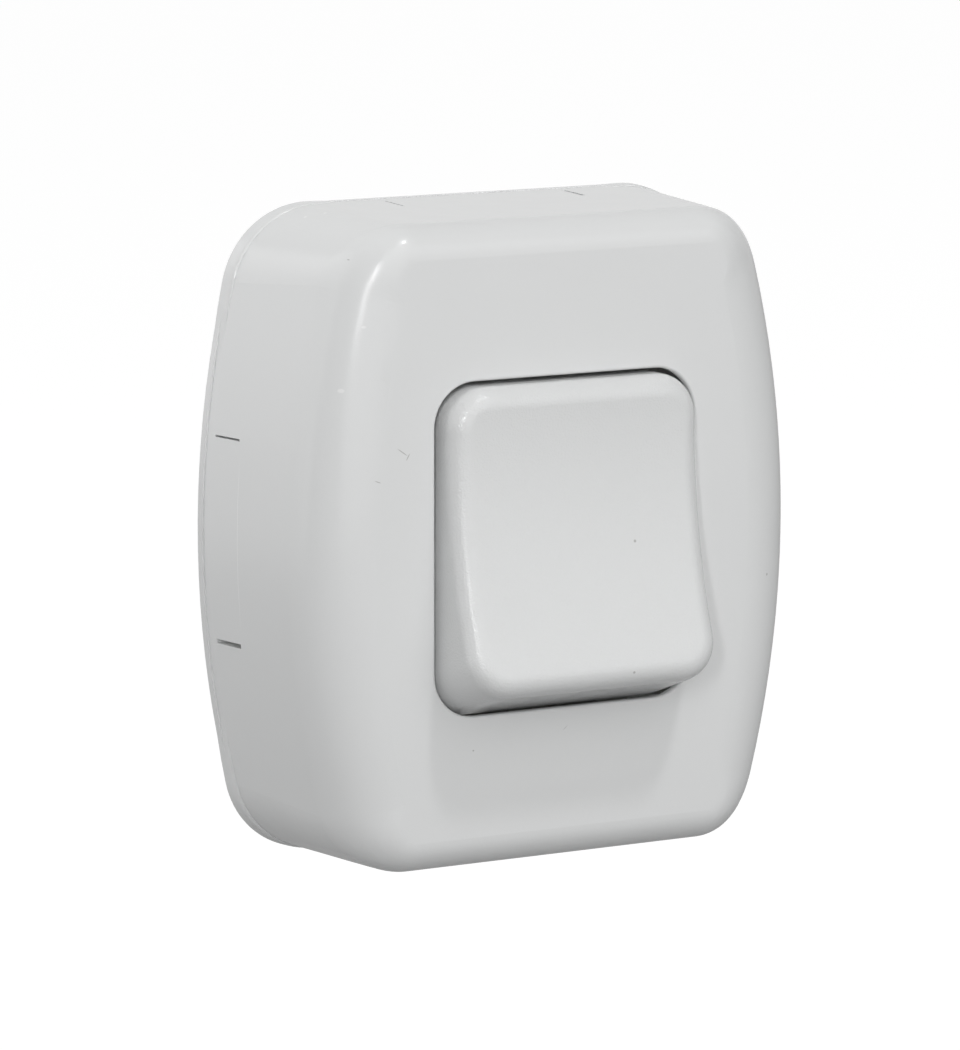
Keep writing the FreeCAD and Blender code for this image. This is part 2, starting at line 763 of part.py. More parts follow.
# half sizes of the rocker where it passes the cover's front, and how they grow towards its skirt
rocker_x = S.opening_width / 2 - S.rocker_gap
rocker_z = S.opening_height / 2 - S.rocker_end_gap
cover_line = S.case_depth - S.pivot_depth


def rocker_half(at, inset=ZERO):
    """Half width and half height of the rocker's walls at a distance in front of its axis."""
    behind = cover_line - at
    width = rocker_x + behind * tangent(S.rocker_side_draft) - inset
    height = rocker_z + behind * tangent(S.rocker_draft) - inset
    return width, height


def rocker_form(label, top, inset=ZERO):
    """A block with the rocker's four leaning walls, from its skirt to a distance in front."""
    low = -S.rocker_skirt
    (near_x, near_z), (far_x, far_z) = rocker_half(low, inset), rocker_half(top, inset)
    sides = leaning(label + "Sides", "XY_Plane", [(low, near_x), (top, far_x)], near_z * 3)
    ends = leaning(label + "Ends", "YZ_Plane", [(low, near_z), (top, far_z)], near_x * 3)
    return intersect(label + "Form", [sides, ends])


def make_mechanism_body():
    body = new_body("mechanism_body")
    block = new_sketch(body, "Block", offset=S.plate_thickness)
    rounded(block, S.block_width, S.block_height, S.cheek_thickness)
    pad(body, block, S.block_top - S.plate_thickness, name="BlockPad")

    deep = S.block_top
    chamber = new_sketch(body, "ContactChamber", offset=floor_depth)
    rectangle(chamber, 0, 0, S.chamber_width, S.chamber_height)
    pocket(body, chamber, deep, name="ContactChamberCut")
    channel = new_sketch(body, "CommonChannel", offset=floor_depth)
    low = S.block_height / 2 - S.terminal_height / 2
    rectangle(
        channel,
        S.channel_reach / 2,
        (S.channel_head - low) / 2,
        S.channel_reach,
        S.channel_head + low,
    )
    pocket(body, channel, deep, name="CommonChannelCut")
    for name, (x, z) in terminals.items():
        chamber = new_sketch(body, name.title() + "Chamber", offset=floor_depth)
        over = S.wall if z.number > 0 else -S.wall
        rectangle(chamber, x, z + over / 2, S.terminal_width, S.terminal_height + S.wall)
        pocket(body, chamber, deep, name=name.title() + "ChamberCut")

    wells = new_sketch(body, "ScrewWells", offset=S.plate_thickness)
    for x, z in terminals.values():
        circle(wells, x, z, S.terminal_screw_diameter + S.hole_fit * 3)
    pocket(body, wells, S.block_floor, name="ScrewWellCut")

    # low gates let the strips through the end walls of the contact chamber
    gate = new_sketch(body, "StripGate", "XY_Plane")
    gate_depth = -(floor_depth + strip_front + S.screw_fit) / 2
    gate_height = S.strip_thickness + S.screw_fit
    rectangle(gate, 0, gate_depth, S.strip_width + S.hole_fit, gate_height)
    pocket(body, gate, terminal_z, name="UpperGateCut")
    gate = new_sketch(body, "LowerGate", "XY_Plane")
    neck_x, neck_width = lower_neck()
    rectangle(gate, neck_x, gate_depth, neck_width + S.hole_fit, gate_height)
    pocket(body, gate, terminal_z, reverse=False, name="LowerGateCut")

    for name, diameter, start, length in (
        ("BossPockets", S.fixing_boss + S.hole_fit * 2, S.plate_thickness, S.fixing_boss_height),
        ("FixingHoles", S.fixing_diameter + S.hole_fit * 2, S.plate_thickness, S.block_top),
        ("HeadPockets", S.fixing_head + S.hole_fit * 4, fixing_head_seat, S.block_top),
    ):
        holes = new_sketch(body, name, offset=start)
        for x, z in fixing_places:
            circle(holes, x, z, diameter)
        pocket(body, holes, length, name=name + "Cut")

    # cheeks with the pin holes, open at the front so that the rocker snaps in
    outer = S.block_width / 2
    for sx in (-1, 1):
        name = "CheekLeft" if sx < 0 else "CheekRight"
        start = outer - S.cheek_thickness if sx > 0 else -outer
        cheek = new_sketch(body, name, "YZ_Plane", start)
        foot, head = S.block_top - S.cheek_thickness, S.pivot_depth + S.cheek_cap
        wide, narrow = S.cheek_height / 2, S.pivot_diameter / 2 + S.cheek_thickness
        polygon(cheek, [(-foot, -wide), (-foot, wide), (-head, narrow), (-head, -narrow)])
        pad(body, cheek, S.cheek_thickness, name=name + "Pad")
    bearing = new_sketch(body, "PinHoles", "YZ_Plane")
    circle(bearing, -S.pivot_depth, 0, S.pivot_diameter + S.pivot_fit * 2)
    pocket(body, bearing, name="PinHoleCut")
    snap = new_sketch(body, "SnapGap", "YZ_Plane")
    gap = S.cheek_cap + S.wall
    rectangle(snap, -(S.pivot_depth + gap / 2), 0, gap, S.pivot_diameter - S.hole_fit * 2)
    pocket(body, snap, name="SnapGapCut")

    # stops for the rocker's skirt at each end of its travel
    _, skirt_z = rocker_half(-S.rocker_skirt)
    swing = S.rocker_skirt * cosine(S.rocker_tilt) + skirt_z * sine(S.rocker_tilt)
    stop_front = S.pivot_depth - swing - S.stop_gap
    stops = new_sketch(body, "RockerStops", offset=S.block_top - S.block_floor / 2)
    for sx, sz in CORNERS:
        x = (outer - S.stop_width / 2 - S.cheek_thickness) * sx
        rectangle(stops, x, (skirt_z - S.rocker_wall) * sz, S.stop_width, S.stop_width)
    pad(body, stops, stop_front - S.block_top + S.block_floor / 2, name="RockerStopPads")
    return body


# Rocker: moulded cap with a concave face, modelled about its axis and set at the rest tilt


def make_rocker():
    outside = new_body("RockerOutside")
    top = cover_line + S.rocker_lift + S.rocker_edge + S.rocker_wall
    outside.BaseFeature = rocker_form("Rocker", top)
    doc.recompute()
    face = cover_line + S.rocker_lift
    concave = new_sketch(outside, "ConcaveFace", "YZ_Plane")
    circle(concave, -(face + S.rocker_hollow), 0, S.rocker_hollow * 2)
    pocket(outside, concave, name="ConcaveFaceCut")
    fillet(outside, S.rocker_corner, upright, "Corners")
    front = -(face - S.rocker_wall).number
    fillet(outside, S.rocker_edge, lambda e: reach(e, "y")[1] < front, "FaceEdge")

    ceiling = face - S.rocker_wall
    inside = new_body("RockerInside")
    inside.BaseFeature = rocker_form("Hollow", ceiling, S.rocker_wall)
    fillet(inside, S.rocker_corner - S.rocker_wall, upright, "HollowCorners")

    body = new_body("rocker")
    body.BaseFeature = subtract("RockerShell", outside, inside)
    doc.recompute()
    boss = new_sketch(body, "PlungerBoss", offset=-S.boss_reach)
    circle(boss, 0, 0, S.boss_diameter)
    pad(body, boss, S.boss_reach + ceiling + S.hole_fit, name="PlungerBossPad")
    bore = new_sketch(body, "PlungerBore", offset=-S.boss_reach)
    circle(bore, 0, 0, S.plunger_diameter + S.pivot_fit * 2)
    pocket(body, bore, S.boss_reach + spring_seat, name="PlungerBoreCut")

    # pins point inwards from the skirt into the cheeks
    half_x, _ = rocker_half(ZERO, S.rocker_wall / 2)
    tip = S.block_width / 2 - S.cheek_thickness + S.hole_fit
    for sx in (-1, 1):
        name = "PinLeft" if sx < 0 else "PinRight"
        pin = new_sketch(body, name, "YZ_Plane", tip if sx > 0 else -half_x)
        circle(pin, 0, 0, S.pivot_diameter)
        pad(body, pin, half_x - tip, name=name + "Pad")
    place(body, depth=S.pivot_depth, tilt=-S.rocker_tilt)
    return body


# Plunger and its spring, in the rocker's boss

spring_seat = cover_line + S.rocker_lift - S.rocker_wall - S.rocker_wall
lever_front = S.lever_axis + S.lever_pin / 2
plunger_reach = S.pivot_depth - lever_front - S.lever_gap


def make_plunger():
    body = new_body("plunger")
    radius = S.plunger_diameter / 2
    spigot = radius - S.spring_wire - S.pivot_fit - S.hole_fit
    profile = new_sketch(body, "Profile", "XY_Plane")
    points = [
        (ZERO, S.plunger_tail - S.slot_depth), (spigot, S.plunger_tail - S.slot_depth),
        (spigot, S.plunger_tail), (radius, S.plunger_tail),
        (radius, plunger_reach - radius), (ZERO, plunger_reach),
    ]
    polygon(profile, points, {4: radius})
    revolve(body, profile)
    place(body, depth=S.pivot_depth, tilt=-S.rocker_tilt)
    return body


def make_plunger_spring():
    """Coil standing on the plunger's shoulder: each turn is a flat half and a rising half."""
    turns = int(round(S.spring_turns.number))
    wire = S.spring_wire.number
    radius = S.plunger_diameter.number / 2 - wire / 2 - S.pivot_fit.number
    rise = (S.plunger_tail.number + spring_seat.number - wire) / turns
    start = -S.plunger_tail.number + wire / 2
    arcs = []
    for turn in range(turns):
        low = -(start + turn * rise)
        right, left = FreeCAD.Vector(radius, low, 0), FreeCAD.Vector(-radius, low, 0)
        arcs.append(Part.Arc(right, FreeCAD.Vector(0, low, radius), left))
        next_right = FreeCAD.Vector(radius, low - rise, 0)
        middle = (left + next_right) * 0.5
        half = (next_right - left).Length / 2
        arcs.append(Part.Arc(left, middle - FreeCAD.Vector(0, 0, half), next_right))
    low = -(start + turns * rise)
    arcs.append(
        Part.Arc(
            FreeCAD.Vector(radius, low, 0),
            FreeCAD.Vector(0, low, radius),
            FreeCAD.Vector(-radius, low, 0),
        )
    )
    line = Part.Wire([arc.toShape() for arc in arcs])
    corners = []
    for step in range(WIRE_SIDES + 1):
        turn = 2 * math.pi * (step + 0.5) / WIRE_SIDES
        out, up = wire / 2 * math.cos(turn), wire / 2 * math.sin(turn)
        corners.append(FreeCAD.Vector(radius + out, -start + up, 0))
    section = Part.makePolygon(corners)
    spring = doc.addObject("Part::Feature", "plunger_spring")
    spring.Label = "plunger_spring"
    spring.Shape = line.makePipeShell([section], True, True)
    place(spring, depth=S.pivot_depth, tilt=-S.rocker_tilt)
    return spring


WIRE_SIDES = 6


# Contact lever with its two rivets, about its own axis, set at the rest tilt


def make_contact_lever():
    body = new_body("contact_lever")
    plate = new_sketch(body, "Plate", offset=-S.lever_thickness / 2)
    rounded(plate, S.lever_width, S.lever_length, S.contact_shank)
    for sz in (-1, 1):
        circle(plate, 0, S.contact_arm * sz, S.contact_shank)
    pad(body, plate, S.lever_thickness, name="PlatePad")
    pins = new_sketch(body, "Pins", "YZ_Plane")
    circle(pins, 0, 0, S.lever_pin)
    across = pad(body, pins, S.lever_width + (S.fork_gap * 2 + S.fork_thickness) * 2, name="PinPad")
    across.Midplane = True
    place(body, depth=S.lever_axis, tilt=S.lever_tilt)
    return body


def make_lever_contact(name, side):
    """Domed rivet through the lever, its head towards the wall."""
    body = new_body(name)
    face = S.lever_thickness / 2
    head = S.contact_diameter / 2
    shank = S.contact_shank / 2
    formed = S.contact_head / 3
    fall = S.contact_dome - root(S.contact_dome * S.contact_dome - head * head)
    profile = new_sketch(body, "Profile", "XY_Plane")
    points = [
        (ZERO, -(face + formed)), (shank + formed, -(face + formed)), (shank + formed, -face),
        (shank, -face), (shank, face), (head, face),
        (head, face + S.contact_head - fall), (ZERO, face + S.contact_head),
    ]
    polygon(profile, points, {6: S.contact_dome})
    revolve(body, profile)
    arm = S.contact_arm * side
    place(
        body,
        depth=S.lever_axis + arm * sine(S.lever_tilt),
        z=arm * cosine(S.lever_tilt),
        tilt=S.lever_tilt,
    )
    return body


# Terminals: brass strips on the block's floor with their fixed contacts, clamps and screws

contact_low = (
    S.lever_axis
    + (S.contact_dome - S.contact_head - S.lever_thickness / 2) * cosine(S.lever_tilt)
    - S.contact_arm * sine(S.lever_tilt)
    - S.contact_dome
)
fixed_head = contact_low - S.lever_gap - strip_front
strip_end = S.block_height / 2 - S.hole_fit * 2


def lower_neck():
    """Middle and width of the lower strip's neck, where both its chambers overlap."""
    left = -(S.chamber_width / 2) + S.hole_fit * 2
    right = -S.lower_shift + S.terminal_width / 2 - S.hole_fit
    return (left + right) / 2, right - left


def strip(name, points, holes):
    body = new_body(name)
    outline = new_sketch(body, "Outline", offset=floor_depth)
    polygon(outline, points)
    for x, z, diameter in holes:
        circle(outline, x, z, diameter)
    pad(body, outline, S.strip_thickness, name="StripPad")
    return body


def make_strips():
    half = S.strip_width / 2
    near = S.contact_arm - S.contact_diameter / 2 - S.hole_fit
    tapped = S.terminal_screw_diameter + S.screw_fit * 2
    x, z = terminals["upper"]
    upper = strip(
        "upper_terminal",
        [(-half, near), (half, near), (half, strip_end), (-half, strip_end)],
        [(ZERO, S.contact_arm, S.contact_shank), (x, z, tapped)],
    )

    # the lower strip steps to the left behind the contact chamber's end wall
    neck_x, neck_width = lower_neck()
    left, right = neck_x - neck_width / 2, neck_x + neck_width / 2
    end = S.chamber_height / 2 - S.hole_fit
    shoulder = S.block_height / 2 - S.terminal_height + S.hole_fit
    x, z = terminals["lower"]
    lower = strip(
        "lower_terminal",
        [
            (left, -near), (left, -shoulder), (x - half, -shoulder), (x - half, -strip_end),
            (x + half, -strip_end), (x + half, -shoulder), (right, -shoulder), (right, -end),
            (half, -end), (half, -near),
        ],
        [(ZERO, -S.contact_arm, S.contact_shank), (x, z, tapped)],
    )

    # the common strip crosses under the lever and runs down its channel
    x, z = terminals["common"]
    fork_in = S.lever_width / 2 + S.fork_gap
    fork_out = fork_in + S.fork_thickness
    bar = S.contact_diameter / 2 + S.hole_fit
    run_out = S.channel_reach - S.hole_fit
    run_in = run_out - S.strip_width / 2 - S.hole_fit
    common = strip(
        "common_terminal",
        [
            (-fork_out, -bar), (-fork_out, bar), (run_out, bar), (run_out, -shoulder),
            (x + half, -shoulder), (x + half, -strip_end), (x - half, -strip_end),
            (x - half, -shoulder), (run_in, -shoulder), (run_in, -bar),
        ],
        [(x, z, tapped)],
    )
    for sx in (-1, 1):
        side = "ForkLeft" if sx < 0 else "ForkRight"
        fork = new_sketch(common, side, "YZ_Plane", fork_in if sx > 0 else -fork_out)
        head = S.lever_axis + S.lever_pin
        slot_half = S.lever_pin / 2 + S.screw_fit
        points = [
            (-strip_front, -bar), (-head, -bar), (-head, -slot_half), (-S.lever_axis, -slot_half),
            (-S.lever_axis, slot_half), (-head, slot_half), (-head, bar), (-strip_front, bar),
        ]
        polygon(fork, points, {3: None})
        pad(common, fork, S.fork_thickness, name=side + "Pad")
    return [upper, lower, common]


def make_fixed_contact(name, side):
    body = new_body(name)
    profile = new_sketch(body, "Profile", "XY_Plane")
    shank, head = S.contact_shank / 2, S.contact_diameter / 2
    points = [
        (ZERO, ZERO), (shank, ZERO), (shank, -S.strip_thickness), (head, -S.strip_thickness),
        (head, -(S.strip_thickness + fixed_head)), (ZERO, -(S.strip_thickness + fixed_head)),
    ]
    polygon(profile, points)
    revolve(body, profile)
    place(body, depth=floor_depth, z=S.contact_arm * side)
    return body


def make_clamp_plate(name, x, z):
    body = new_body(name)
    plate = new_sketch(body, "Plate")
    rounded(plate, S.clamp_size, S.clamp_size, S.clamp_thickness / 2)
    circle(plate, 0, 0, S.terminal_screw_diameter + S.hole_fit * 2)
    pad(body, plate, S.clamp_thickness, name="PlatePad")
    place(body, x, strip_front, z)
    return body


def make_screw(name, x, z, seat, tip, diameter, head, head_height):
    """A slotted pan-head screw that seats at one depth and ends at another."""
    body = new_body(name)
    radius, shank = head / 2, seat - tip
    point = diameter / 8
    profile = new_sketch(body, "Profile", "XY_Plane")
    points = [
        (ZERO, -head_height), (radius - head_height / 4, -head_height), (radius, -head_height / 2),
        (radius, ZERO), (diameter / 2, ZERO), (diameter / 2, shank - point),
        (diameter / 2 - point, shank), (ZERO, shank),
    ]
    polygon(profile, points)
    revolve(body, profile)
    cut = new_sketch(body, "DriverSlot", offset=head_height - S.slot_depth)
    rectangle(cut, 0, 0, head + S.slot_width, S.slot_width)
    pocket(body, cut, S.slot_depth * 2, name="DriverSlotCut")
    place(body, x, seat, z)
    return body


def make_small_parts():
    parts = []
    for name, (x, z) in terminals.items():
        parts.append(make_clamp_plate(f"clamp_plate_{name}", x, z))
        parts.append(
            make_screw(
                f"terminal_screw_{name}", x, z, clamp_front, S.terminal_screw_tip,
                S.terminal_screw_diameter, S.terminal_screw_head, S.terminal_screw_head_height,
            )
        )
    for name, (x, z) in zip(("upper", "lower"), fixing_places):
        parts.append(
            make_screw(
                f"mechanism_screw_{name}", x, z, fixing_head_seat, S.fixing_tip,
                S.fixing_diameter, S.fixing_head, S.fixing_head_height,
            )
        )
    for name, side in (("upper", 1), ("lower", -1)):
        parts.append(make_lever_contact(f"lever_contact_{name}", side))
        parts.append(make_fixed_contact(f"fixed_contact_{name}", side))
    return parts


pieces = [
    make_cover(),
    make_base_plate(),
    make_mechanism_body(),
    make_rocker(),
    make_plunger(),
    make_plunger_spring(),
    make_contact_lever(),
    *make_strips(),
    *make_small_parts(),
]
doc.recompute()

# Nothing is written unless every object is sound

for item in doc.Objects:
    if "Invalid" in item.State or "Error" in item.State:
        raise RuntimeError(f"{item.Name} failed: {item.State}")
for piece in pieces:
    if piece.Shape.isNull() or not piece.Shape.isValid():
        raise RuntimeError(f"{piece.Label} has no sound shape")
    if len(piece.Shape.Solids) != 1:
        raise RuntimeError(f"{piece.Label} has {len(piece.Shape.Solids)} solids")
for piece in pieces:
    piece.Shape.exportStep(f"parts/{piece.Label}.step")
    print(piece.Label, round(piece.Shape.Volume, 2))
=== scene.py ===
"""Looks of a white surface mounted light switch with one wide rocker, photographed from its left.

Metres; the wall plane is Y = 0, the front faces -Y, +X is right seen from the front and +Z is up.
"""

import math

import bmesh
import bpy
from mathutils import Matrix, Vector


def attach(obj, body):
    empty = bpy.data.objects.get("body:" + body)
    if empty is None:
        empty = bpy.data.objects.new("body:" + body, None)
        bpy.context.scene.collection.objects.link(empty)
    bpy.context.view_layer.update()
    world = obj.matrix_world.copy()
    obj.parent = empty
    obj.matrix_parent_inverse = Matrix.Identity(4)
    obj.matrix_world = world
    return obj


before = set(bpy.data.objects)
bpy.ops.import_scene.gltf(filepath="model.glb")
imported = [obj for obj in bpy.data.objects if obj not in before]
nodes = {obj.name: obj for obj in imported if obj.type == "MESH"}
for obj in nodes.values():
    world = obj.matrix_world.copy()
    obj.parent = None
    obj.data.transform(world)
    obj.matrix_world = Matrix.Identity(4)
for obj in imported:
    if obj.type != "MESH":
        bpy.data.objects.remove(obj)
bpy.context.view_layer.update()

scene = bpy.context.scene
MM = 0.001

# Colour sockets of a Mix node, by number because their names repeat
MIX_FIRST, MIX_SECOND, MIX_RESULT = 6, 7, 2


# Colours and nodes


def linear(code):
    """An sRGB hex colour as linear RGBA."""
    channels = [int(code[i : i + 2], 16) / 255 for i in (1, 3, 5)]
    return [c / 12.92 if c <= 0.04045 else ((c + 0.055) / 1.055) ** 2.4 for c in channels] + [1.0]


def add(tree, kind, settings=None, links=None):
    """Adds a node; settings are values of its sockets and properties, links are sockets fed by others."""
    node = tree.nodes.new(kind)
    for key, value in (settings or {}).items():
        if isinstance(key, int) or key in node.inputs:
            node.inputs[key].default_value = value
        else:
            setattr(node, key, value)
    for key, source in (links or {}).items():
        tree.links.new(source, node.inputs[key])
    return node


def new_material(name):
    material = bpy.data.materials.new(name)
    material.use_nodes = True
    tree = material.node_tree
    tree.nodes.clear()
    shader = add(tree, "ShaderNodeBsdfPrincipled")
    output = add(tree, "ShaderNodeOutputMaterial", links={"Surface": shader.outputs["BSDF"]})
    output.name = "Output"
    return material, tree, shader


def give(material, *names):
    """Assigns a material to the material slots of CAD nodes."""
    for name in names:
        mesh = nodes[name].data
        if not mesh.materials:
            mesh.materials.append(material)
        for index in range(len(mesh.materials)):
            mesh.materials[index] = material


# Materials


def mark(tree, place, centre, size, turn=0.0, soft=0.4):
    """A mask, 1 inside an ellipsoid about a centre, both in mm, that fades over its soft outer share."""
    local = add(
        tree,
        "ShaderNodeMapping",
        {
            "vector_type": "TEXTURE",
            "Location": [c * MM for c in centre],
            "Rotation": [0, math.radians(turn), 0],
            "Scale": [s * MM / 2 for s in size],
        },
        {"Vector": place},
    )
    away = add(tree, "ShaderNodeVectorMath", {"operation": "LENGTH"}, {0: local.outputs[0]})
    return add(
        tree,
        "ShaderNodeMapRange",
        {"From Min": 1.0, "From Max": 1.0 - soft, "To Min": 0.0, "To Max": 1.0},
        {"Value": away.outputs["Value"]},
    ).outputs[0]


def most(tree, masks):
    """The largest of several masks."""
    result = masks[0]
    for mask in masks[1:]:
        result = add(tree, "ShaderNodeMath", {"operation": "MAXIMUM"}, {0: result, 1: mask}).outputs[0]
    return result


DIRT_COLOUR, DIRT_STRENGTH = "#8E8C88", 0.55
# Painted highlights: the near-white that pale marks mix into the plastic where glints of light are painted
HIGHLIGHT_COLOUR, HIGHLIGHT_STRENGTH = "#F6F6F6", 0.5
# Faint patterns in the plastics: clouds of tone, a haze in the gloss and sink waves, each with its size
CLOUD_MM, CLOUD_SHADE = 9, 0.985
HAZE_MM, HAZE_RANGE = 4, (0.9, 1.12)
WAVE_MM = 6


def noise(tree, place, size_mm, detail):
    """A noise pattern whose blobs are about that size in mm."""
    settings = {"Scale": 1 / (size_mm * MM), "Detail": detail}
    return add(tree, "ShaderNodeTexNoise", settings, {"Vector": place}).outputs["Fac"]


def white_plastic(name, colour, roughness, grain_mm, grain_height, wave_height, dirt=(), pale=()):
    """Moulded thermoset or thermoplastic: a clear gloss over a very even body colour.

    The moulding's slow sink shows as faint waves in reflections, and the mould's texture as a fine grain.
    Heights are in mm; dirt is a list of dirt marks, and pale a list of painted highlights drawn as
    near-white spots.
    """
    material, tree, shader = new_material(name)
    place = add(tree, "ShaderNodeTexCoord").outputs["Object"]
    clean = linear(colour)
    duller = [channel * CLOUD_SHADE for channel in clean[:3]] + [1.0]
    tone = add(
        tree,
        "ShaderNodeMix",
        {"data_type": "RGBA", MIX_FIRST: clean, MIX_SECOND: duller},
        {"Factor": noise(tree, place, CLOUD_MM, 2.0)},
    )
    body = tone.outputs[MIX_RESULT]
    # Dirt marks darken the body colour; pale marks are painted highlights that lighten it
    for masks, shade, strength in (
        (dirt, DIRT_COLOUR, DIRT_STRENGTH),
        (pale, HIGHLIGHT_COLOUR, HIGHLIGHT_STRENGTH),
    ):
        if masks:
            spots = most(tree, [mark(tree, place, *item) for item in masks])
            share = add(tree, "ShaderNodeMath", {"operation": "MULTIPLY", 1: strength}, {0: spots})
            stain_and_highlight = add(
                tree,
                "ShaderNodeMix",
                {"data_type": "RGBA", MIX_SECOND: linear(shade)},
                {"Factor": share.outputs[0], MIX_FIRST: body},
            )
            body = stain_and_highlight.outputs[MIX_RESULT]
    tree.links.new(body, shader.inputs["Base Color"])
    shader.inputs["IOR"].default_value = 1.5
    rough = add(
        tree,
        "ShaderNodeMapRange",
        {"To Min": roughness * HAZE_RANGE[0], "To Max": roughness * HAZE_RANGE[1]},
        {"Value": noise(tree, place, HAZE_MM, 3.0)},
    )
    tree.links.new(rough.outputs[0], shader.inputs["Roughness"])
    slow = add(
        tree,
        "ShaderNodeBump",
        {"Strength": 1.0, "Distance": wave_height * MM},
        {"Height": noise(tree, place, WAVE_MM, 1.0)},
    )
    fine = add(
        tree,
        "ShaderNodeBump",
        {"Strength": 1.0, "Distance": grain_height * MM},
        {"Height": noise(tree, place, grain_mm, 2.0), "Normal": slow.outputs[0]},
    )
    tree.links.new(fine.outputs[0], shader.inputs["Normal"])
    return material


# Marks: centre and size in mm, and for a long one its turn in degrees

# A short bent hair, three streaks and three specks on the cover
COVER_DIRT = [
    ((-18.2, -20.8, 10.2), (1.5, 2.0, 0.12), 35.0),
    ((-17.6, -20.8, 9.7), (0.9, 2.0, 0.12), -60.0),
    ((-20.9, -20.8, 7.5), (0.8, 2.0, 0.1), 20.0),
    ((23.6, -20.0, -5.3), (0.25, 2.0, 0.35)),
    ((-22.3, -17.5, 28.8), (0.2, 0.8, 0.12)),
    ((-10.4, -20.8, -19.9), (0.25, 2.0, 0.2)),
    ((0.0, -20.8, -18.6), (0.8, 2.0, 0.06), -40.0),
]
ROCKER_DIRT = [
    ((5.7, -24.5, 0.15), (0.35, 2.0, 0.35)),
    ((3.6, -28.0, -12.2), (0.35, 1.5, 0.3)),
]
# Painted highlights: four glints drawn as pale spots, and a painted light line along the break-out panel's
# score
COVER_HIGHLIGHTS = [
    ((-24.05, -19.2, 16.4), (0.7, 1.2, 0.5)),
    ((-21.9, -19.9, 22.5), (0.5, 1.0, 0.3)),
    ((-20.6, -5.3, 31.65), (0.36, 0.5, 0.9)),
    ((-19.05, -6.5, 32.1), (0.36, 0.5, 0.9)),
    ((-28.9, -6.7, 0.0), (1.5, 0.12, 20.6)),
]

# Polished mould: sharp small highlights that follow the edge rounds
cover_plastic = white_plastic(
    "moulded_gloss_urea",
    "#E1E2E2",
    roughness=0.21,
    grain_mm=0.35,
    grain_height=0.005,
    wave_height=0.006,
    dirt=COVER_DIRT,
    # The pale marks on the cover are painted highlights
    pale=COVER_HIGHLIGHTS,
)
# Spark-eroded mould: a satin face with a slightly broken glint along its edge. The real grain is about a
# pixel wide or finer, so it is drawn coarser to show.
rocker_plastic = white_plastic(
    "fine_textured_urea",
    "#E0E1E1",
    roughness=0.17,
    grain_mm=0.2,
    grain_height=0.045,
    wave_height=0.003,
    dirt=ROCKER_DIRT,
)
# Plain mould: a dull, slightly warm white on the wall side
base_plastic = white_plastic(
    "moulded_white_abs", "#D9D9D6", roughness=0.45, grain_mm=0.25, grain_height=0.004, wave_height=0.004
)
# Filled insulating moulding: grey, dull and a little mottled
block_plastic = white_plastic(
    "moulded_grey_phenolic", "#B9B9B5", roughness=0.5, grain_mm=0.2, grain_height=0.006, wave_height=0.004
)
# Turned pin: a satin off-white
plunger_plastic = white_plastic(
    "turned_natural_acetal", "#E3DFD3", roughness=0.4, grain_mm=0.3, grain_height=0.003, wave_height=0.002
)
give(cover_plastic, "cover")
give(rocker_plastic, "rocker")
give(base_plastic, "base_plate")
give(block_plastic, "mechanism_body")
give(plunger_plastic, "plunger")


GRAIN_RANGE = (0.7, 1.3)


def worked_metal(name, colour, roughness, line_mm, height, stretch=(1, 1, 1)):
    """Bare or plated metal: full reflections, broken by grain of that size in mm, stretched into lines."""
    material, tree, shader = new_material(name)
    place = add(tree, "ShaderNodeTexCoord").outputs["Object"]
    drawn = add(tree, "ShaderNodeMapping", {"Scale": stretch}, {"Vector": place})
    lines = noise(tree, drawn.outputs[0], line_mm, 2.0)
    shader.inputs["Base Color"].default_value = linear(colour)
    shader.inputs["Metallic"].default_value = 1.0
    rough = add(
        tree,
        "ShaderNodeMapRange",
        {"To Min": roughness * GRAIN_RANGE[0], "To Max": roughness * GRAIN_RANGE[1]},
        {"Value": lines},
    )
    tree.links.new(rough.outputs[0], shader.inputs["Roughness"])
    bump = add(tree, "ShaderNodeBump", {"Strength": 1.0, "Distance": height * MM}, {"Height": lines})
    tree.links.new(bump.outputs[0], shader.inputs["Normal"])
    return material


# Rolled strip: warm yellow with lines along the roll
rolled_brass = worked_metal(
    "rolled_brass", "#C9A45C", roughness=0.3, line_mm=0.15, height=0.002, stretch=(1, 1, 0.08)
)
# Plated fasteners: cool grey, softly mottled
zinc_steel = worked_metal("zinc_plated_steel", "#B9BBBD", roughness=0.35, line_mm=0.25, height=0.003)
# Cold headed rivets: pale and bright
silver = worked_metal("headed_silver", "#DAD8D2", roughness=0.25, line_mm=0.3, height=0.002)
# Drawn wire: darker grey
spring_wire = worked_metal("drawn_spring_wire", "#8F9194", roughness=0.3, line_mm=0.2, height=0.002)
give(rolled_brass, "contact_lever", "upper_terminal", "lower_terminal", "common_terminal")
give(silver, "lever_contact_upper", "lever_contact_lower", "fixed_contact_upper", "fixed_contact_lower")
give(spring_wire, "plunger_spring")
for end in ("upper", "lower", "common"):
    give(zinc_steel, f"clamp_plate_{end}", f"terminal_screw_{end}")
give(zinc_steel, "mechanism_screw_upper", "mechanism_screw_lower")


# Rim: flat crescents with a soft front edge, proud of the cover's wall at its back corners


# Lengths in mm and angles in degrees. Each point of the profile has a depth and a share of the height,
# and a BURIED one lies inside the cover's wall.
BURIED = -1.0
RIM_PROFILE = ((-0.15, BURIED), (-0.15, 1.0), (-1.3, 1.0), (-1.55, 0.85), (-1.72, 0.45), (-1.8, BURIED))
RIM_HEIGHT, RIM_FADE, RIM_ROOT = 0.3, 1.3, -0.25
RIM_FROM, RIM_SWEEP, RIM_STEPS = -10, 110, 40
RIM_MIDDLE = (17.0, 20.0)
RIM_CREASE = 50
CAST_FROM = 30


